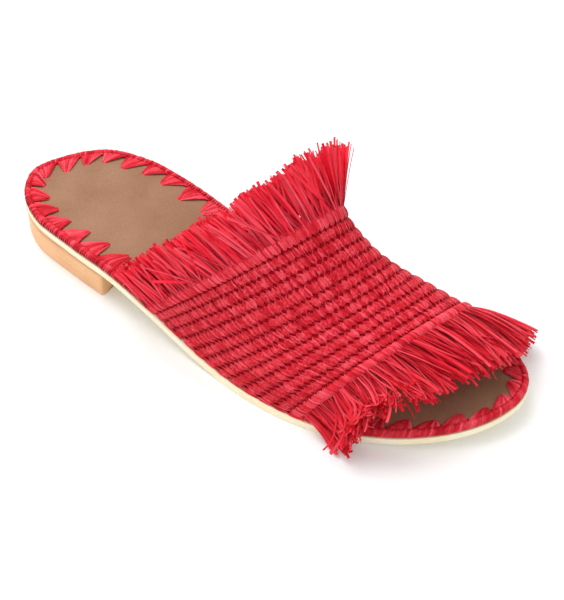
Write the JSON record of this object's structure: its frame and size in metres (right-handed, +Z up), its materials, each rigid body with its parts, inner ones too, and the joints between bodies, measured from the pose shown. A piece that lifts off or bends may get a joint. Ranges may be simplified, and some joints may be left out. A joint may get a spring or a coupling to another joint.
{
  "type": "raffia slide sandal",
  "caption": "Right-foot slide sandal: a ribbed woven raffia band fringed along both edges, on a thin leather sole with a low block heel and a suede insole edged in raffia.",
  "frame": {"origin": "on the floor, under the middle of the shoe's bounding box", "axes": "+Y to the toe, +X to the little-toe side, +Z up"},
  "size_m": [0.1042, 0.2518, 0.0944],
  "materials": {
    "outsole_leather": "cut natural leather edge, cream, matt",
    "heel_leather": "stacked tan leather, waxed, satin",
    "insole_suede": "taupe brushed leather, matt",
    "edging_raffia": "red dyed raffia, stitched, satin",
    "woven_raffia": "red dyed raffia, woven in ribs, satin",
    "fringe_raffia": "red dyed raffia strips, satin"
  },
  "bodies": {
    "root": {"outsole": "outsole_leather", "heel": "heel_leather", "insole": "insole_suede", "insole_edging": "edging_raffia", "upper": "woven_raffia", "fringe_back": "fringe_raffia", "fringe_front": "fringe_raffia"}
  },
  "joints": []
}
